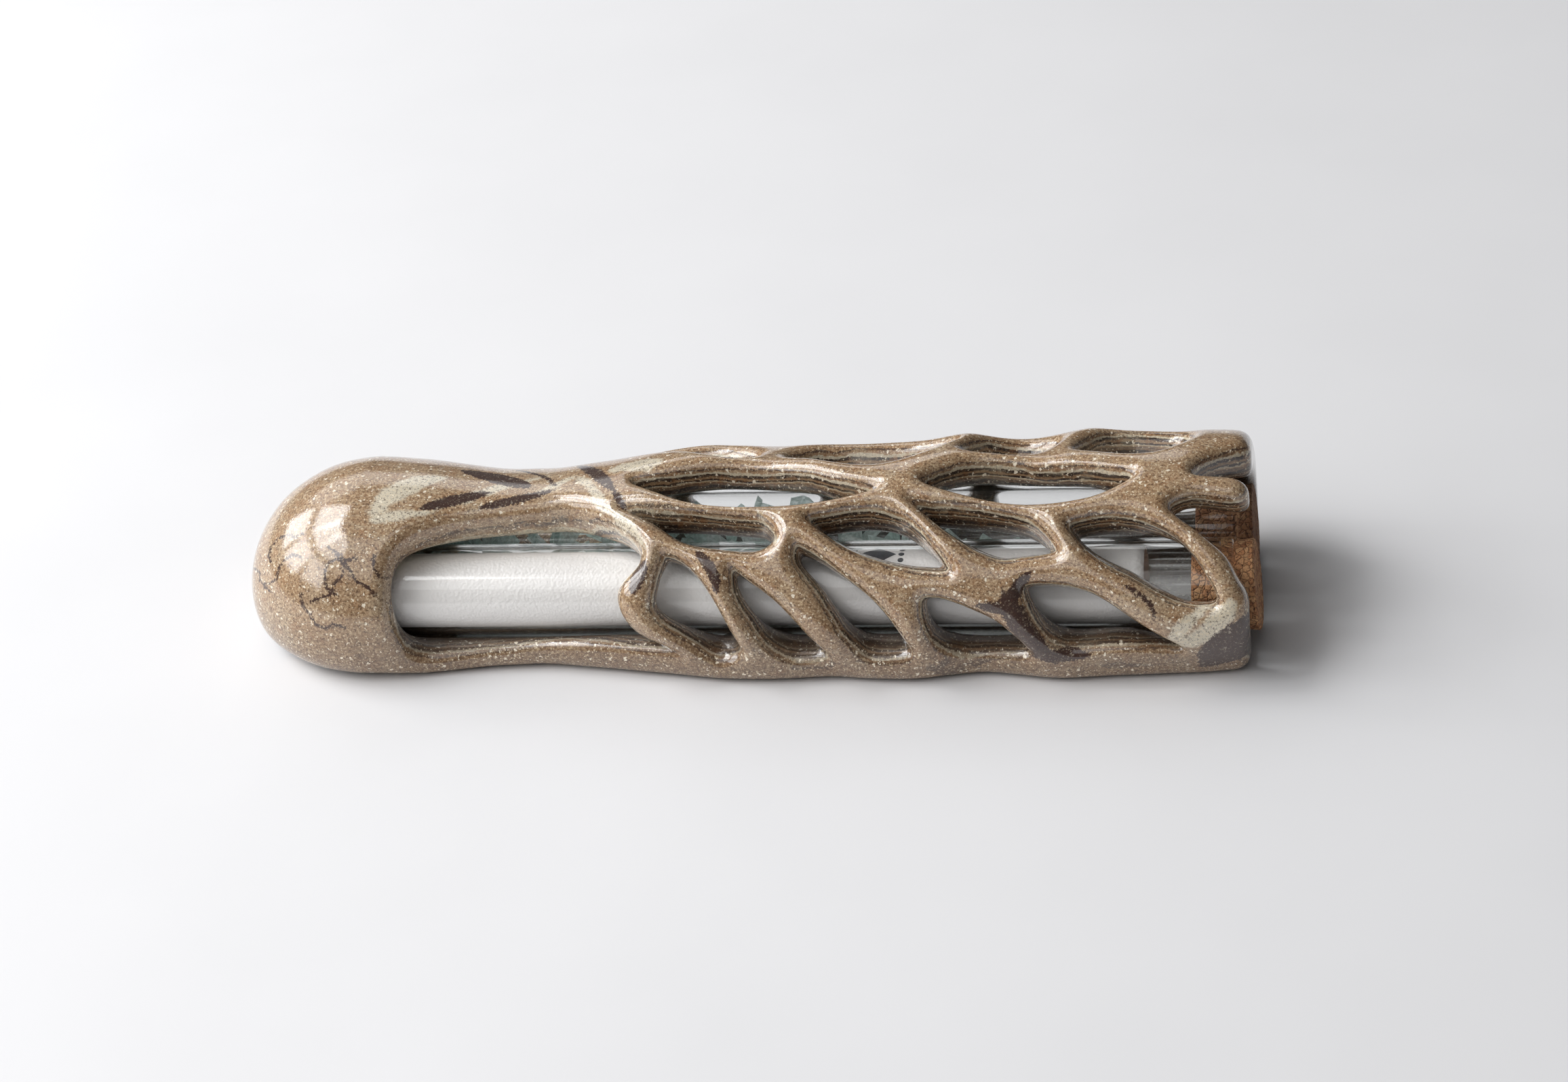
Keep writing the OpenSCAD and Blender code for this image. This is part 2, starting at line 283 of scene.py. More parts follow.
def opening_map(xs, angles, outlines, radius):
    """Distance to the nearest opening over the grid of xs and angles, negative inside one."""
    reach = 6.0
    past_mouth = 90
    mid_wall = 2.5
    out = np.full((len(xs), len(angles)), reach, np.float32)
    for outline in outlines:
        loop = smooth_loop(outline)
        loop[:, 0] = np.minimum(loop[:, 0], past_mouth)
        mid_r = float(np.interp(loop[:, 0].mean(), xs, radius)) - mid_wall
        scale = math.radians(1) * mid_r
        i0, i1 = np.searchsorted(xs, [loop[:, 0].min() - reach, loop[:, 0].max() + reach])
        j0, j1 = np.searchsorted(angles, [loop[:, 1].min() - reach / scale, loop[:, 1].max() + reach / scale])
        px = xs[i0:i1][:, None]
        py = angles[j0:j1][None, :] * scale
        far = np.full((i1 - i0, j1 - j0), 1e9)
        inside = np.zeros(far.shape, bool)
        ends = np.roll(loop, -1, 0)
        for (ax, ay), (bx, by) in zip(loop, ends):
            ay, by = ay * scale, by * scale
            far = np.minimum(far, segment_distance(px, py, ax, ay, bx, by))
            if ay != by:
                crosses = (ay > py) != (by > py)
                inside ^= crosses & (px < ax + (py - ay) * (bx - ax) / (by - ay))
        signed = np.where(inside, -far, far)
        out[i0:i1, j0:j1] = np.minimum(out[i0:i1, j0:j1], signed)
    return out


def rounded_slot(x, y, x0, x1, half_w, r):
    """Distance to a slot from x0 to x1 with corners of radius r, negative inside it."""
    qx = np.abs(x - (x0 + x1) / 2) - (x1 - x0) / 2 + r
    qy = np.abs(y) - half_w + r
    return np.hypot(np.maximum(qx, 0), np.maximum(qy, 0)) + np.minimum(np.maximum(qx, qy), 0) - r


def wobble(x, y, z, seed, wave):
    """Soft unevenness of between -1 and 1, with humps about wave long."""
    count = 6
    rng = np.random.default_rng(seed)
    total = 0
    for _ in range(count):
        d = rng.normal(size=3)
        d *= 2 * math.pi / (wave * rng.uniform(0.7, 1.5)) / np.linalg.norm(d)
        total = total + np.sin(d[0] * x + d[1] * y + d[2] * z + rng.uniform(0, WHOLE_TURN))
    return total / count


def case_radius(x, angle):
    """Radius of the outside at a distance along the case and an angle from the crown."""
    foot_angle, foot_blend = 78, 26
    ring = smooth_through(RINGS, x)
    foot = smooth_through(FOOT, x, 1.8)
    low = np.clip((np.abs(angle) - foot_angle) / foot_blend, 0, 1)
    radius = ring + (foot - ring) * low * low * (3 - 2 * low)
    for hump_x, hump_angle, length, height in HUMPS:
        turned = ((angle - hump_angle) / HUMP_ANGLE) ** 2
        radius = radius + height * np.exp(-((x - hump_x) / length) ** 2 - turned)
    return radius


def case_surface(pitch):
    """Points, triangles and quads of the whole case, from a distance field on a grid of that pitch."""
    half_width = 22.6
    xs = np.arange(HEAD_X - 3 * pitch, MOUTH_X + 3 * pitch, pitch)
    ys = np.arange(-half_width, half_width + pitch, pitch)
    zs = np.arange(-3 * pitch, case_high[2] + 4 * pitch, pitch)
    x = xs[:, None, None].astype(np.float32)
    y = ys[None, :, None].astype(np.float32)
    z = zs[None, None, :].astype(np.float32)
    rad = np.hypot(y, z - AXIS_H)
    turn = np.degrees(np.arctan2(-y, z - AXIS_H))[0]
    angles = np.arange(-180, 180 + ANGLE_STEP, ANGLE_STEP)
    j = (turn + 180) / ANGLE_STEP
    j0 = np.clip(np.floor(j).astype(int), 0, len(angles) - 2)
    f = (j - j0).astype(np.float32)[None]

    def sample(table):
        """Values over the grid, from a table over xs and angles."""
        table = table.astype(np.float32)
        return table[:, j0] * (1 - f) + table[:, j0 + 1] * f

    radius = case_radius(xs[:, None], angles[None, :])
    ring = smooth_through(RINGS, xs).astype(np.float32)[:, None, None]
    # outside: the round head, then the turned body
    ex, er = (x - HEAD_MID_X) / HEAD_L, rad / HEAD_R
    k0 = np.sqrt(ex * ex + er * er)
    k1 = np.sqrt((ex / HEAD_L) ** 2 + (er / HEAD_R) ** 2) + 1e-6
    body = np.where(x < HEAD_MID_X, k0 * (k0 - 1) / k1, rad - sample(radius))
    body += 0.16 * wobble(x, y, z, 3, 26) + 0.07 * wobble(x, y, z, 4, 9)
    # the edge round the flat back is rounded most under the head
    lip = np.interp(xs, [-70, -56, -48, 70, 78], [5.5, 4.0, 2.2, 2.2, 3.0])
    body = smax(body, -z, lip.astype(np.float32)[:, None, None])
    body = smax(body, x - MOUTH_X, MOUTH_EASE)
    # the wall is thinner, and cut more squarely, from the crown over the far side and at the open end
    slim = np.maximum(np.clip((16 - turn) / 14, 0, 1)[None], np.clip((x - 60) / 8, 0, 1))
    wall = WALL_T - SLIM_T * slim
    # inside: the vault, the head's hollow and the two tubes' seats
    il, ir = HEAD_L - WALL_T, HEAD_R - wall
    ex, er = (x - HEAD_MID_X) / il, rad / ir
    k0 = np.sqrt(ex * ex + er * er)
    k1 = np.sqrt((ex / il) ** 2 + (er / ir) ** 2) + 1e-6
    vault = np.where(x < HEAD_MID_X, k0 * (k0 - 1) / k1, rad - ring + wall)
    vault = np.maximum(vault, BASE_T - z)
    start = TIP_X + TUBE_R
    room = None
    for seat_y in (FRONT_Y, BACK_Y):
        d = np.sqrt(np.minimum(x - start, 0) ** 2 + (y - seat_y) ** 2 + (z - TUBE_H) ** 2) - SEAT_R
        room = d if room is None else np.minimum(room, d)
    between = np.maximum(start - x, np.abs(y) - BACK_Y)
    between = np.maximum(between, np.maximum(BASE_T - z, z - TUBE_H - SEAT_R))
    hollow = -smax(-vault, -np.minimum(room, between), VAULT_EASE)
    body = smax(body, -hollow, INSIDE_EASE)
    for x0, x1 in BACK_GAPS:
        gap = rounded_slot(x, y, x0, x1, GAP_HALF_W, GAP_CORNER_R)
        body = smax(body, -np.maximum(gap, z - BASE_T - 1), GAP_EASE)
    holes = sample(opening_map(xs, angles, NEAR_OPENINGS + FAR_OPENINGS, smooth_through(RINGS, xs)))
    depth = np.clip(ring - rad, 0, 8)
    body = smax(body, -np.maximum(holes + INSET + TAPER * (1 - slim) * depth, CORE_R - rad), EASE)

    grid = vdb.FloatGrid()
    grid.background = FIELD_REACH
    grid.copyFromArray(np.ascontiguousarray(np.clip(body, -FIELD_REACH, FIELD_REACH), np.float32))
    points, tris, quads = grid.convertToPolygons(isovalue=0.0, adaptivity=0.0)
    points = points * pitch + np.array([xs[0], ys[0], zs[0]])
    return points, tris, quads


def mesh_object(name, points, faces, material, smooth=True):
    mesh = bpy.data.meshes.new(name)
    mesh.from_pydata((np.asarray(points) * MM).tolist(), [], [list(f) for f in faces])
    mesh.validate()
    mesh.update()
    if smooth:
        mesh.shade_smooth()
    else:
        mesh.shade_flat()
    mesh.materials.append(material)
    obj = bpy.data.objects.new(name, mesh)
    bpy.context.scene.collection.objects.link(obj)
    return obj


def stroke_distance(x, s, strokes, scale):
    """Distance to the nearest stroke, less its half width there."""
    unpainted, reach = 8.0, 6
    best = np.full(len(x), unpainted)
    for points in strokes:
        for (ax, aa, aw), (bx, ba, bw) in zip(points[:-1], points[1:]):
            near = (x > min(ax, bx) - reach) & (x < max(ax, bx) + reach)
            px, py = x[near] - ax, s[near] - aa * scale
            dx, dy = bx - ax, (ba - aa) * scale
            t = np.clip((px * dx + py * dy) / (dx * dx + dy * dy), 0, 1)
            d = np.hypot(px - t * dx, py - t * dy) - aw - (bw - aw) * t
            best[near] = np.minimum(best[near], d)
    return best


def paint(obj, points):
    """Stores on each vertex how deep in the clay it lies and how far it is from the veins and cream."""
    paint_r = 19.5
    x, y, z = points.T
    rad = np.hypot(y, z - AXIS_H)
    angle = np.degrees(np.arctan2(-y, z - AXIS_H))
    ring = case_radius(x, angle)
    head = np.clip(1 - ((x - HEAD_MID_X) / HEAD_L) ** 2, 0, 1)
    ring = np.where(x < HEAD_MID_X, HEAD_R * np.sqrt(head), ring)
    depth = np.clip(ring - rad, -1, 9)
    depth = np.where(x < HEAD_MID_X, depth * np.sqrt(head), depth)
    scale = math.radians(1) * paint_r
    s = angle * scale
    # on the head and the neck the layers hardly show, except along the near side's lower edge
    calm = np.clip((-14 - x) / 8, 0, 1) * np.clip((84 - angle) / 24, 0, 1)
    layer = depth * (1 - 0.72 * calm)
    for cx, ca, lx, ls, height in SWELLS:
        layer += height * np.exp(-((x - cx) / lx) ** 2 - ((angle - ca) * scale / ls) ** 2)
    # the middle of the flat back is one even layer
    layer = np.where((z < BASE_T + 0.6) & (rad < 13), 3.8, layer)
    # the strokes fade out below the surface
    deep = np.clip(depth - 1.6, 0, None) * 1.2
    values = {
        "layer": layer,
        "vein": stroke_distance(x, s, VEINS, scale) + deep,
        "cream": stroke_distance(x, s, CREAMS, scale) + deep,
    }
    for name, value in values.items():
        attribute = obj.data.attributes.new(name, "FLOAT", "POINT")
        attribute.data.foreach_set("value", value.astype(np.float32))


# ---------------------------------------------------------------- materials

class Shader:
    """A material's node tree, built from short calls."""

    def __init__(self, name):
        self.material = bpy.data.materials.new(name)
        self.material.use_nodes = True
        self.tree = self.material.node_tree
        self.tree.nodes.clear()

    def node(self, kind, inputs=(), out=0, **settings):
        node = self.tree.nodes.new("ShaderNode" + kind)
        for key, value in settings.items():
            setattr(node, key, value)
        for key, value in dict(inputs).items():
            socket = node.inputs[key]
            if isinstance(value, bpy.types.NodeSocket):
                self.tree.links.new(value, socket)
            else:
                socket.default_value = value
        return node.outputs[out]

    def math(self, operation, a, b=0.0, clamp=False):
        return self.node("Math", {0: a, 1: b}, operation=operation, use_clamp=clamp)

    def between(self, value, low, high, to_low=0.0, to_high=1.0):
        return self.node("MapRange", {0: value, 1: low, 2: high, 3: to_low, 4: to_high},
                         interpolation_type="SMOOTHSTEP")

    def mix(self, factor, a, b):
        return self.node("Mix", {0: factor, 6: a, 7: b}, out=2, data_type="RGBA")

    def ramp(self, value, stops):
        node = self.tree.nodes.new("ShaderNodeValToRGB")
        self.tree.links.new(value, node.inputs[0])
        ramp = node.color_ramp
        while len(ramp.elements) < len(stops):
            ramp.elements.new(0.5)
        for element, (at, colour) in zip(ramp.elements, stops):
            element.position = at
            element.color = colour
        return node.outputs[0]

    def object_mm(self):
        """Object coordinates in millimetres."""
        place = self.node("TexCoord", out="Object")
        return self.node("VectorMath", {0: place, 1: (1000, 1000, 1000)}, operation="MULTIPLY")

    def noise(self, vector, scale, detail=2.0, roughness=0.5, distortion=0.0, out=0):
        return self.node("TexNoise", {"Vector": vector, "Scale": scale, "Detail": detail,
                                      "Roughness": roughness, "Distortion": distortion}, out=out)

    def surface(self, shader):
        out = self.tree.nodes.new("ShaderNodeOutputMaterial")
        self.tree.links.new(shader, out.inputs["Surface"])
        return self.material


def rgb(red, green, blue):
    """A colour from its usual 0-255 values."""
    def linear(v):
        v /= 255
        return v / 12.92 if v <= 0.04045 else ((v + 0.055) / 1.055) ** 2.4
    return (linear(red), linear(green), linear(blue), 1)


TAN = rgb(166, 134, 100)
TAN_DEEP = rgb(130, 101, 73)
CREAM = rgb(206, 194, 170)
CHOCOLATE = rgb(60, 40, 34)
DARK_VEIN = rgb(54, 28, 22)
BROWN = rgb(92, 69, 52)
UMBER = rgb(44, 29, 23)


def clay():
    s = Shader("glazed_clay")
    at = s.object_mm()
    layer = s.node("Attribute", attribute_name="layer", out="Fac")
    vein = s.node("Attribute", attribute_name="vein", out="Fac")
    cream = s.node("Attribute", attribute_name="cream", out="Fac")
    slow = s.noise(at, 0.055, 2.0)
    mid = s.noise(at, 0.3, 3.0, 0.6)
    fine = s.noise(at, 2.2, 3.0, 0.6)
    long = s.node("VectorMath", {0: at, 1: (0.14, 1, 1)}, operation="MULTIPLY")
    streak = s.noise(long, 1.1, 4.0, 0.65, 0.6)
    # the layers of the clay, which show as lines where the wall is cut
    deep = s.between(layer, 0.3, 2.0, 1.0, 3.2)
    warped = s.math("MULTIPLY", s.math("SUBTRACT", slow, 0.5), deep)
    warped = s.math("ADD", warped, s.math("MULTIPLY", s.math("SUBTRACT", mid, 0.5), 0.8))
    warped = s.math("ADD", warped, s.math("MULTIPLY", s.math("SUBTRACT", fine, 0.5), 0.35))
    warped = s.math("ADD", warped, s.math("MULTIPLY", s.math("SUBTRACT", streak, 0.5), 0.9))
    reach = 7.0
    level = s.math("DIVIDE", s.math("ADD", warped, layer), reach, clamp=True)
    bands = [
        (0.0, TAN), (0.85, TAN), (0.9, CHOCOLATE), (1.05, BROWN), (1.1, TAN_DEEP), (1.45, TAN),
        (1.5, CREAM), (1.85, CREAM), (1.9, UMBER), (2.35, UMBER), (2.4, TAN_DEEP), (2.75, TAN),
        (2.8, UMBER), (3.1, UMBER),
        (3.15, CREAM), (3.4, TAN), (3.6, BROWN), (3.95, TAN_DEEP), (4.0, UMBER), (4.6, UMBER), (4.65, BROWN),
        (4.9, TAN_DEEP), (4.96, CREAM), (5.1, BROWN), (5.5, BROWN), (5.56, UMBER), (6.2, UMBER), (7.0, BROWN),
    ]
    body = s.ramp(level, [(depth / reach, colour) for depth, colour in bands])
    # long streaks and broad warm and pale clouds
    body = s.mix(s.between(streak, 0.3, 0.46, 0.4, 0.0), body, BROWN)
    body = s.mix(s.between(streak, 0.55, 0.7, 0.0, 0.35), body, CREAM)
    clouds = s.noise(at, 0.12, 3.0, 0.6)
    body = s.mix(s.between(clouds, 0.45, 0.75, 0.0, 0.3), body, CREAM)
    rust = s.noise(at, 0.5, 3.0, 0.7)
    body = s.mix(s.between(rust, 0.5, 0.72, 0.0, 0.5), body, rgb(158, 108, 64))
    # painted shade: the clay darkens towards the foot
    height_mm = s.node("SeparateXYZ", {0: at}, out=2)
    body = s.mix(s.between(height_mm, 2.0, 13.0, 0.5, 0.0), body, rgb(104, 80, 60))
    # painted cream patches and chocolate veins, with ragged edges
    ragged = s.math("MULTIPLY_ADD", fine, 0.7)
    ragged.node.inputs[2].default_value = -0.35
    broad = s.math("MULTIPLY_ADD", mid, 2.6)
    broad.node.inputs[2].default_value = -1.3
    cream_at = s.between(s.math("ADD", s.math("ADD", cream, ragged), broad), -0.3, 0.5, 0.9, 0.0)
    body = s.mix(cream_at, body, rgb(222, 213, 192))
    sand = s.noise(at, 2.6, 3.0, 0.8)
    torn = s.math("MULTIPLY", s.math("SUBTRACT", sand, 0.5), 1.5)
    vein_at = s.between(s.math("ADD", s.math("ADD", vein, ragged), torn), 0.1, 0.36, 1.0, 0.0)
    body = s.mix(vein_at, body, s.mix(s.between(streak, 0.5, 0.62), DARK_VEIN, CHOCOLATE))
    off_vein = s.between(vein_at, 0.0, 1.0, 1.0, 0.25)
    # fine sand and pale grog
    calm_sand = s.between(layer, 0.8, 2.4, 1.0, 0.35)
    dark_sand = s.math("MULTIPLY", s.between(sand, 0.36, 0.5, 0.8, 0.0), calm_sand)
    body = s.mix(dark_sand, body, rgb(80, 54, 36))
    lit_sand = s.math("MULTIPLY", s.between(sand, 0.52, 0.66, 0.0, 0.6), off_vein)
    lit_sand = s.math("MULTIPLY", lit_sand, calm_sand)
    body = s.mix(lit_sand, body, rgb(230, 208, 172))
    bent = s.node("VectorMath", {0: at, 1: s.noise(at, 2.0, 2.0, out=1)}, operation="ADD")
    cells = s.node("TexVoronoi", {"Vector": bent, "Scale": 1.25, "Randomness": 1.0}, out="Distance")
    pick = s.node("SeparateColor", {0: cells.node.outputs["Color"]}, out=0)
    grog_r = s.math("MULTIPLY", s.math("POWER", pick, 1.8), 0.36)
    grog = s.between(s.math("SUBTRACT", cells, grog_r), -0.08, 0.03, 0.95, 0.0)
    body = s.mix(s.math("MULTIPLY", grog, off_vein), body, rgb(250, 238, 216))
    tiny = s.node("TexVoronoi", {"Vector": at, "Scale": 2.3, "Randomness": 1.0}, out="Distance")
    tiny_pick = s.node("SeparateColor", {0: tiny.node.outputs["Color"]}, out=1)
    tiny_at = s.between(s.math("SUBTRACT", tiny, s.math("MULTIPLY", tiny_pick, 0.34)), -0.06, 0.03, 0.7, 0.0)
    body = s.mix(s.math("MULTIPLY", tiny_at, off_vein), body, rgb(238, 222, 192))
    # the inside is darker, partly as bare, darker clay and partly as painted shade of the hollows, and the
    # low cut walls get more painted shade
    body = s.mix(s.between(layer, 3.2, 6.5, 0.0, 0.6), body, rgb(50, 35, 26))
    low_painted_shade = s.math("MULTIPLY", s.between(layer, 1.2, 3.4, 0.0, 0.7),
                        s.between(height_mm, 6.0, 14.0, 1.0, 0.0))
    body = s.mix(low_painted_shade, body, rgb(38, 26, 19))
    height = s.math("ADD", s.math("MULTIPLY", sand, 0.5), s.math("MULTIPLY", grog, -0.4))
    height = s.math("ADD", height, s.math("MULTIPLY", fine, 1.2))
    bump = s.node("Bump", {"Strength": 0.4, "Distance": 0.00012, "Height": height}, out="Normal")
    coat_bump = s.node("Bump", {"Strength": 0.13, "Distance": 0.0001, "Height": height}, out="Normal")
    glazed = s.node("BsdfPrincipled", {
        "Base Color": body, "Roughness": 0.5, "Specular IOR Level": 0.3, "Normal": bump,
        "Coat Weight": 1.0, "Coat Roughness": 0.015, "Coat IOR": 1.72, "Coat Normal": coat_bump,
    })
    return s.surface(glazed)


def clear_glass():
    """Glass that bends what is seen through it and lets light through to what it holds."""
    s = Shader("clear_glass")
    shadow = s.node("LightPath", out="Is Shadow Ray")
    diffuse = s.node("LightPath", out="Is Diffuse Ray")
    glass = s.node("BsdfGlass", {"Color": (0.997, 1, 0.999, 1), "Roughness": 0.0, "IOR": 1.47})
    through = s.node("BsdfTransparent", {"Color": (0.99, 1, 0.995, 1)})
    return s.surface(s.node("MixShader", {0: s.math("MAXIMUM", shadow, diffuse), 1: glass, 2: through}))


def broken_glass():
    """Pale aqua glass, partly clear and partly lit through."""
    s = Shader("aqua_glass")
    at = s.object_mm()
    info = s.node("ObjectInfo", out="Random")
    shade = s.mix(info, rgb(214, 236, 231), rgb(250, 254, 253))
    flaw = s.noise(at, 1.4, 2.0)
    bump = s.node("Bump", {"Strength": 0.3, "Distance": 0.0003, "Height": flaw}, out="Normal")
    edge = s.node("LayerWeight", {"Blend": 0.3}, out="Facing")
    through = s.node("BsdfTransparent", {"Color": s.mix(edge, (0.99, 1, 0.995, 1), (0.88, 0.96, 0.95, 1))})
    solid = s.node("BsdfPrincipled", {"Base Color": shade, "Roughness": 0.06, "IOR": 1.5, "Normal": bump})
    glow = s.node("BsdfTranslucent", {"Color": shade})
    solid = s.node("MixShader", {0: 0.75, 1: solid, 2: glow})
    return s.surface(s.node("MixShader", {0: s.between(flaw, 0.3, 0.7, 0.4, 0.8), 1: through, 2: solid}))


def cork(name, painted_lighting):
    """Pressed cork, with painted shade that darkens it as the second argument falls from 1 to 0."""
    s = Shader(name)
    at = s.object_mm()
    grain = s.node("TexVoronoi", {"Vector": at, "Scale": 1.1, "Randomness": 1.0}, out="Distance")
    pick = s.node("SeparateColor", {0: grain.node.outputs["Color"]}, out=0)
    body = s.ramp(pick, [
        (0, rgb(150, 98, 62)), (0.35, rgb(198, 142, 98)), (0.7, rgb(216, 168, 122)), (1, rgb(176, 118, 76)),
    ])
    seam = s.node("TexVoronoi", {"Vector": at, "Scale": 1.1, "Randomness": 1.0}, feature="DISTANCE_TO_EDGE")
    body = s.mix(s.between(seam, 0.0, 0.1, 0.4, 0.0), body, rgb(92, 56, 34))
    speck = s.noise(at, 3.2, 3.0, 0.7)
    body = s.mix(s.between(speck, 0.34, 0.48, 0.85, 0.0), body, rgb(58, 32, 20))
    # painted shade: below 1, the cork is darkened towards deep brown
    body = s.mix(painted_lighting, rgb(66, 34, 20), body)
    height = s.math("ADD", s.between(seam, 0.0, 0.15), s.math("MULTIPLY", speck, 0.7))
    bump = s.node("Bump", {"Strength": 0.8, "Distance": 0.00025, "Height": height}, out="Normal")
    return s.surface(s.node("BsdfPrincipled", {"Base Color": body, "Roughness": 0.85, "Normal": bump}))


def parchment():
    s = Shader("parchment")
    at = s.object_mm()
    cells = s.node("TexVoronoi", {"Vector": at, "Scale": 2.4, "Randomness": 1.0}, feature="SMOOTH_F1")
    soft = s.noise(at, 0.9, 3.0, 0.6)
    body = s.mix(s.noise(at, 0.06, 2.0), rgb(253, 249, 247), rgb(243, 236, 234))
    height = s.math("ADD", s.math("MULTIPLY", cells, 1.0), s.math("MULTIPLY", soft, 0.8))
    bump = s.node("Bump", {"Strength": 0.55, "Distance": 0.00012, "Height": height}, out="Normal")
    return s.surface(s.node("BsdfPrincipled", {
        "Base Color": body, "Roughness": 0.42, "Specular IOR Level": 0.45, "Normal": bump}))


def ink():
    s = Shader("ink")
    at = s.object_mm()
    body = s.mix(s.noise(at, 1.5, 2.0), rgb(28, 28, 32), rgb(58, 60, 68))
    return s.surface(s.node("BsdfPrincipled", {"Base Color": body, "Roughness": 0.5}))


def table_top():
    s = Shader("table_top")
    at = s.object_mm()
    body = s.mix(s.noise(at, 0.02, 3.0), rgb(238, 238, 240), rgb(230, 230, 232))
    return s.surface(s.node("BsdfPrincipled", {"Base Color": body, "Roughness": 0.75}))


CLAY, GLASS, AQUA, PARCHMENT, INK = clay(), clear_glass(), broken_glass(), parchment(), ink()
# the back cork is a copy of the cork with painted shade
PALE_CORK, SHADED_CORK = cork("cork", 1.0), cork("shaded_cork", 0.45)


# ---------------------------------------------------------------- pieces

def piece(obj, body, slot, *nodes):
    """Puts a visual piece on its body and in place of its CAD nodes; slot is not used."""
    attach(obj, body)
    if nodes:
        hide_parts(*nodes)
    return obj


points, tris, quads = case_surface(FINE)
case = mesh_object("case_clay", points, list(quads) + list(tris), CLAY)
paint(case, points)
piece(case, "ceramic_case", "glazed_clay", "case")


def lathe(profile, y, steps=96):
    """Points and faces of a closed profile of (x, radius) turned about a tube's axis."""
    points, faces, rows = [], [], []
    for x, r in profile:
        if r < 1e-6:
            rows.append([len(points)] * steps)
            points.append((x, y, TUBE_H))
        else:
            rows.append(list(range(len(points), len(points) + steps)))
            for k in range(steps):
                a = 2 * math.pi * k / steps
                points.append((x, y + r * math.cos(a), TUBE_H + r * math.sin(a)))
    for lower, upper in zip(rows, rows[1:]):
        for k in range(steps):
            face = []
            for v in (lower[k], lower[(k + 1) % steps], upper[(k + 1) % steps], upper[k]):
                if v not in face:
                    face.append(v)
            if len(face) > 2:
                faces.append(face)
    return points, faces


def glass_tube(name, y, body, node):
    """A tube with a round blind end and a melted bead round its rim."""
    middle = TIP_X + TUBE_R
    flare_x, neck_x = RIM_X - 4, RIM_X - 2.2
    arc = [i * math.pi / 2 / 20 for i in range(21)]
    outside = [(middle - TUBE_R * math.cos(a), TUBE_R * math.sin(a)) for a in arc]
    bead = 0.62
    lip_x, lip_r = RIM_X - bead, TUBE_R - bead + 0.12
    outside += [(flare_x, TUBE_R), (neck_x, TUBE_R - 0.05)]
    lip = [(lip_x + bead * math.sin(a), lip_r + bead * math.cos(a))
           for a in [math.radians(t) for t in range(-30, 211, 20)]]
    inside = [(middle - BORE_R * math.cos(a), BORE_R * math.sin(a)) for a in reversed(arc)]
    inside = [(neck_x, BORE_R), (flare_x, BORE_R)] + inside
    points, faces = lathe(outside + lip + inside, y)
    obj = mesh_object(name, points, faces, GLASS)
    return piece(obj, body, "clear_glass", node)


glass_tube("scroll_tube_glass", FRONT_Y, "scroll_tube_body", "scroll_tube")
glass_tube("keepsake_tube_glass", BACK_Y, "keepsake_tube_body", "keepsake_tube")


def cork_plug(name, y, low, high, slant, material, body, node):
    """A cork with a worn edge, small pits and an outer face that is cut a little askew."""
    plug_r, head_r0, head_r1 = BORE_R - 0.05, TUBE_R - 0.5, TUBE_R - 0.12
    step = 0.5
    profile = [(low[0], r) for r in np.arange(0, plug_r - 0.5, 0.6)]
    profile += [(low[0] + 0.1, plug_r - 0.25), (low[0] + 0.4, plug_r)]
    profile += [(x, plug_r) for x in np.arange(low[0] + 0.8, RIM_X, step)]
    profile += [(RIM_X + 0.1, plug_r), (RIM_X + 0.1, head_r0)]
    ends = np.arange(RIM_X + 0.5, high[0] - 0.5, step)
    profile += [(x, head_r0 + (head_r1 - head_r0) * (x - RIM_X) / (high[0] - RIM_X)) for x in ends]
    profile += [(high[0] - 0.35, head_r1), (high[0] - 0.08, head_r1 - 0.25)]
    profile += [(high[0], r) for r in np.arange(head_r1 - 0.6, 0, -0.6)] + [(high[0], 0)]
    points, faces = lathe(profile, y, 120)
    rng = random.Random(node)
    moved = []
    for px, py, pz in points:
        out = min(max((px - RIM_X - 0.6) / (high[0] - RIM_X - 0.6), 0), 1)
        lean = -math.tan(math.radians(slant)) * ((pz - TUBE_H) + head_r1) * out
        dy, dz = py - y, pz - TUBE_H
        shrink = 1 - 0.012 * rng.random() ** 3
        moved.append((px + lean - 0.05 * rng.random() ** 2 * out, y + dy * shrink, TUBE_H + dz * shrink))
    return piece(mesh_object(name, moved, faces, material), body, "cork", node)


cork_plug("scroll_cork_plug", FRONT_Y, front_cork_low, front_cork_high, 4.5, PALE_CORK,
          "scroll_cork_body", "scroll_cork")
cork_plug("keepsake_cork_plug", BACK_Y, back_cork_low, back_cork_high, 3, SHADED_CORK,
          "keepsake_cork_body", "keepsake_cork")


# The rolled parchment
ROLL_R = (roll_high[2] - roll_low[2]) / 2
SHEET_T = 0.25
LAYER_PITCH = 0.35
TURNS = 3.25
FREE_EDGE = math.radians(-62)   # where the outer edge of the sheet ends, from +Y towards +Z


def roll_radius(turn):
    """Outer radius of the sheet after so many turns in from the free edge."""
    return ROLL_R - LAYER_PITCH * turn


def roll_point(x, turn, under):
    """A place on the sheet at x, so many turns in, and so far under its outer face."""
    a = FREE_EDGE - 2 * math.pi * turn
    r = roll_radius(turn) - under
    return (x, FRONT_Y + r * math.cos(a), TUBE_H + r * math.sin(a))


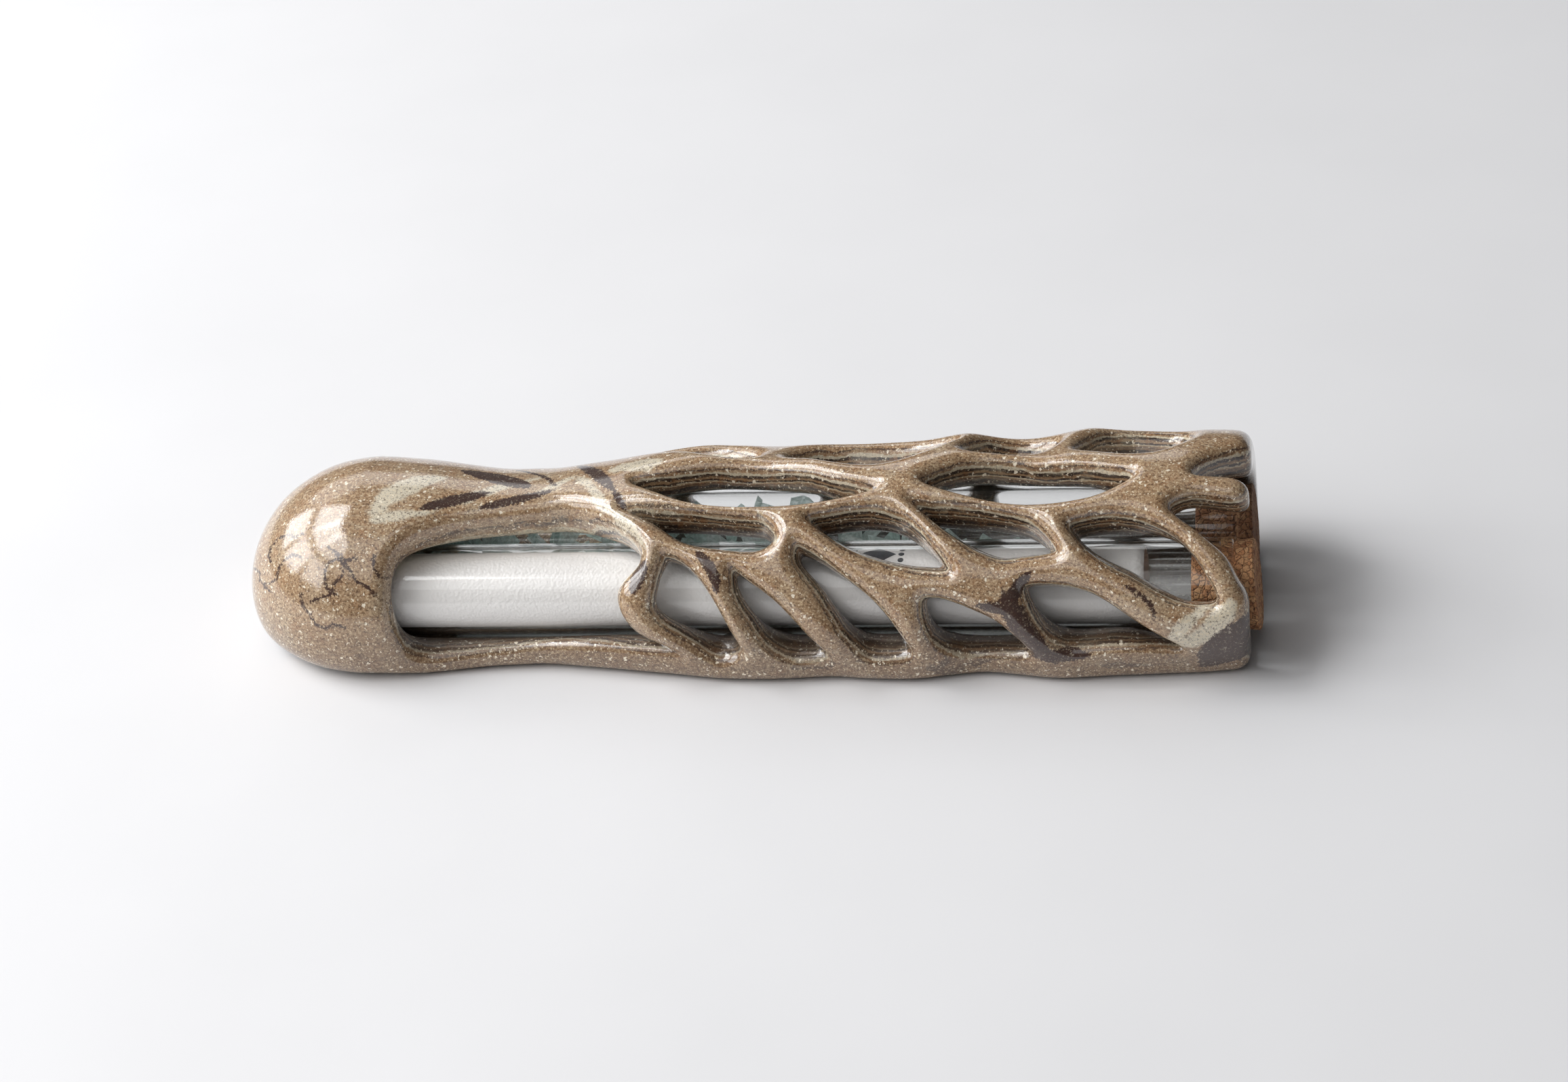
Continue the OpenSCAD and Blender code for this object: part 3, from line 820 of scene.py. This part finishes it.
def parchment_roll():
    """The rolled sheet, as one closed mesh whose inner turns stand back a little at both ends."""
    per_turn, along = 72, 80
    count = int(per_turn * TURNS) + 1
    rows = []
    points = []
    for under in (0.0, SHEET_T):
        for i in range(count):
            turn = i / per_turn
            far_x = roll_low[0] + 0.5 * turn + 0.15 * math.sin(5 * turn)
            near_x = roll_high[0] - 0.55 * turn - 0.25 * (1 - math.cos(2 * math.pi * turn)) / 2
            row = []
            for k in range(along + 1):
                x = far_x + (near_x - far_x) * k / along
                ripple = 0.03 * math.sin(0.21 * x + 9 * turn) * min(turn, 1)
                row.append(len(points))
                points.append(roll_point(x, turn, under + ripple + 0.02))
            rows.append(row)
    faces = []
    outer, inner = rows[:count], rows[count:]
    for i in range(count - 1):
        for k in range(along):
            faces.append((outer[i][k], outer[i][k + 1], outer[i + 1][k + 1], outer[i + 1][k]))
            faces.append((inner[i][k], inner[i + 1][k], inner[i + 1][k + 1], inner[i][k + 1]))
        faces.append((outer[i][0], outer[i + 1][0], inner[i + 1][0], inner[i][0]))
        faces.append((outer[i][along], inner[i][along], inner[i + 1][along], outer[i + 1][along]))
    for k in range(along):
        faces.append((outer[0][k], inner[0][k], inner[0][k + 1], outer[0][k + 1]))
        faces.append((outer[-1][k], outer[-1][k + 1], inner[-1][k + 1], inner[-1][k]))
    return mesh_object("scroll_sheet", points, faces, PARCHMENT)


piece(parchment_roll(), "scroll_body", "parchment", "scroll")


def ornament():
    """A small printed lozenge with dots beside it, lying on the roll."""
    centre_x = 22.0
    middle = 0                  # degrees from the top of the roll towards -Y
    lift = 0.012
    dot_x, dot_angle = 3.6, 13
    points, faces = [], []

    def patch(outline):
        """Adds a filled outline that follows the roll."""
        base = len(points)
        n = len(outline)
        cx, ca = np.mean(outline, 0)
        ring_count = 4
        for j in range(ring_count + 1):
            f = 1 - j / ring_count
            for px, pa in outline:
                x, a = cx + (px - cx) * f, ca + (pa - ca) * f
                angle = math.radians(90 + a)
                turn = ((FREE_EDGE - angle) / (2 * math.pi)) % 1
                r = roll_radius(turn) + lift
                points.append((x, FRONT_Y + r * math.cos(angle), TUBE_H + r * math.sin(angle)))
        for j in range(ring_count):
            for k in range(n):
                m = (k + 1) % n
                outer, inner = base + j * n, base + (j + 1) * n
                faces.append((outer + k, outer + m, inner + m, inner + k))

    def polygon(cx, ca, rx, ra, sides):
        steps = [2 * math.pi * k / sides for k in range(sides)]
        return [(cx + rx * math.cos(t), ca + ra * math.sin(t)) for t in steps]

    def dense(outline):
        """The outline with more points along its sides."""
        parts = 6
        out = []
        for a, b in zip(outline, outline[1:] + outline[:1]):
            for i in range(parts):
                out.append((a[0] + (b[0] - a[0]) * i / parts, a[1] + (b[1] - a[1]) * i / parts))
        return out

    patch(dense(polygon(centre_x, middle, 2.8, 21, 4)))
    for dx in (dot_x, -dot_x):
        for da in (-dot_angle, 0, dot_angle):
            patch(polygon(centre_x + dx, middle + da, 0.45, 4.3, 20))
    return mesh_object("scroll_ornament", points, faces, INK)


piece(ornament(), "scroll_body", "parchment")


# ---------------------------------------------------------------- broken glass

CHIPS = 90


def splinter(rng, size, thick):
    """Corner points of a flat splinter with slanting edges."""
    corners = rng.choice((3, 4, 4, 5, 6))
    start = rng.uniform(0, WHOLE_TURN)
    points = []
    for k in range(corners):
        a = start + 2 * math.pi * (k + rng.uniform(-0.28, 0.28)) / corners
        r = size * rng.uniform(0.72, 1.0)
        px, py = r * math.cos(a), r * math.sin(a) * rng.choice((0.62, 0.8, 1.0))
        for side in (-0.5, 0.5):
            points.append(Vector((px + rng.uniform(-0.3, 0.3), py + rng.uniform(-0.3, 0.3),
                                  side * thick * rng.uniform(0.8, 1.1))))
    return points


def hull(points):
    """Corners and faces of the convex solid round the points."""
    bm = bmesh.new()
    for p in points:
        bm.verts.new(p)
    bmesh.ops.convex_hull(bm, input=bm.verts)
    loose = [v for v in bm.verts if not v.link_faces]
    bmesh.ops.delete(bm, geom=loose, context="VERTS")
    bm.verts.index_update()
    coords = [tuple(v.co) for v in bm.verts]
    faces = [[v.index for v in f.verts] for f in bm.faces]
    bm.free()
    return coords, faces


def fill_height(x):
    """How high the broken glass stands in the bore at x, from -1 at the bottom to 1 at the top."""
    return float(np.interp(x, [-60, 4, 12, 26, 44, 46], [1.0, 1.0, 0.45, -0.2, -0.55, -0.9]))


def fill_tube():
    """Yields each piece of broken glass by name, about the tube's own axis and clear of the others."""
    rng = random.Random(11)
    placed = []                 # (x, tree of its faces, middle)
    free_r = BORE_R - 0.12
    first_x = TIP_X + 4.6

    def attempt(x_range, size, thick, tries):
        """A splinter at a random place that touches neither the glass nor another one, or None."""
        for _ in range(tries):
            shape = splinter(rng, size, thick)
            turn = Matrix.Rotation(rng.uniform(0, WHOLE_TURN), 4, "X")
            turn = turn @ Matrix.Rotation(rng.uniform(0, HALF_TURN), 4, "Y")
            turn = turn @ Matrix.Rotation(rng.uniform(0, WHOLE_TURN), 4, "Z")
            cx = rng.uniform(*x_range)
            top = fill_height(cx)
            cy, cz = rng.uniform(-1, 1) * (free_r - 0.3), rng.uniform(-1, top) * (free_r - 0.3)
            middle = Vector((cx, cy, cz))
            moved = [turn @ p + middle for p in shape]
            highest = top * free_r + 0.8
            if any(math.hypot(p.y, p.z) > free_r or p.z > highest or p.x < first_x for p in moved):
                continue
            coords, faces = hull(moved)
            tree = BVHTree.FromPolygons(coords, faces)
            clear = True
            for other_x, other, other_middle in placed:
                if abs(other_x - cx) >= 2.2 * size + 6:
                    continue
                if tree.overlap(other) or (other_middle - middle).length < 0.5:
                    clear = False
                    break
            if clear:
                placed.append((cx, tree, middle))
                return coords, faces
        return None

    named = [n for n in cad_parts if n.startswith("shard_")]
    for name in sorted(named):
        low, high = span(name)
        mid = (low[0] + high[0]) / 2
        near_node = (mid - 1.6, mid + 1.6)
        # the largest splinter that finds a free place
        for size in (4.6, 3.8, 3.0, 2.4, 1.8, 1.3):
            found = attempt(near_node, size * rng.uniform(0.9, 1.1), rng.uniform(0.9, 1.5), 60)
            if found:
                break
        coords, faces = found
        yield name, coords, faces
    # small chips between them
    for index in range(CHIPS):
        found = attempt((TIP_X + 5, 45), rng.uniform(1.0, 2.8), rng.uniform(0.7, 1.3), 40)
        if found:
            yield f"chip_{index:02d}", *found


for name, coords, faces in fill_tube():
    shifted = [(x, BACK_Y + y, TUBE_H + z) for x, y, z in coords]
    shard = mesh_object(name + "_glass", shifted, faces, AQUA, smooth=False)
    piece(shard, "keepsake_tube_body", "aqua_glass", *([name] if name.startswith("shard") else []))


# ---------------------------------------------------------------- floor, light and camera

floor_mesh = bpy.data.meshes.new("floor")
floor_mesh.from_pydata([(-6, -6, 0), (6, -6, 0), (6, 6, 0), (-6, 6, 0)], [], [(0, 1, 2, 3)])
floor_mesh.materials.append(table_top())
floor = bpy.data.objects.new("floor", floor_mesh)
bpy.context.scene.collection.objects.link(floor)


def direction(azimuth, elevation):
    """A unit vector from the origin, with the azimuth from +X towards +Y."""
    a, e = math.radians(azimuth), math.radians(elevation)
    return Vector((math.cos(a) * math.cos(e), math.sin(a) * math.cos(e), math.sin(e)))


def soft_light(name, azimuth, elevation, distance, width, height, power):
    """A flat light that faces the object."""
    data = bpy.data.lights.new(name, "AREA")
    data.shape = "RECTANGLE"
    data.size, data.size_y = width, height
    data.energy = power
    light = bpy.data.objects.new(name, data)
    toward = direction(azimuth, elevation)
    light.rotation_euler = toward.to_track_quat("Z", "Y").to_euler()
    light.location = toward * distance
    bpy.context.scene.collection.objects.link(light)


# a window of three by two panes, the last column of them dimmer, and the sky beside it
PANE = 0.39
for column, (azimuth, power) in enumerate(((162, 3.05), (-172, 2.9), (-146, 1.8))):
    for row, elevation in enumerate((27, 52)):
        soft_light(f"pane_{column}_{row}", azimuth, elevation, 1.1, PANE, PANE, power)
soft_light("sky_behind", 118, 36, 1.4, 1.2, 0.5, 2.8)
soft_light("room", -105, 52, 1.5, 1.0, 1.0, 2.9)

world = bpy.data.worlds.new("room")
bpy.context.scene.world = world
world.use_nodes = True
background = world.node_tree.nodes["Background"]
background.inputs[0].default_value = (1, 1, 1, 1)
background.inputs[1].default_value = 0.07

view = bpy.context.scene.view_settings
view.view_transform = "Standard"
view.look = "None"

# The camera that was fitted to the photograph: its angles in degrees, distance and target
YAW, LOOK_DOWN, ROLL, DISTANCE = 12.5, 33.84, 7.6, 0.5247
TARGET = Vector((5.43, 4.37, 10.0)) * MM
camera_data = bpy.data.cameras.new("camera")
camera_data.lens = 78
camera_data.sensor_width = 36
camera_data.clip_start = 0.01
camera = bpy.data.objects.new("camera", camera_data)
yaw, down = math.radians(YAW), math.radians(LOOK_DOWN)
backward = Vector((math.sin(yaw) * math.cos(down), -math.cos(yaw) * math.cos(down), math.sin(down)))
camera.location = TARGET + backward * DISTANCE
camera.rotation_mode = "QUATERNION"
upright = Matrix.Rotation(yaw, 4, "Z") @ Matrix.Rotation(math.pi / 2 - down, 4, "X")
camera.rotation_quaternion = (upright @ Matrix.Rotation(math.radians(-ROLL), 4, "Z")).to_quaternion()
bpy.context.scene.collection.objects.link(camera)
bpy.context.scene.camera = camera
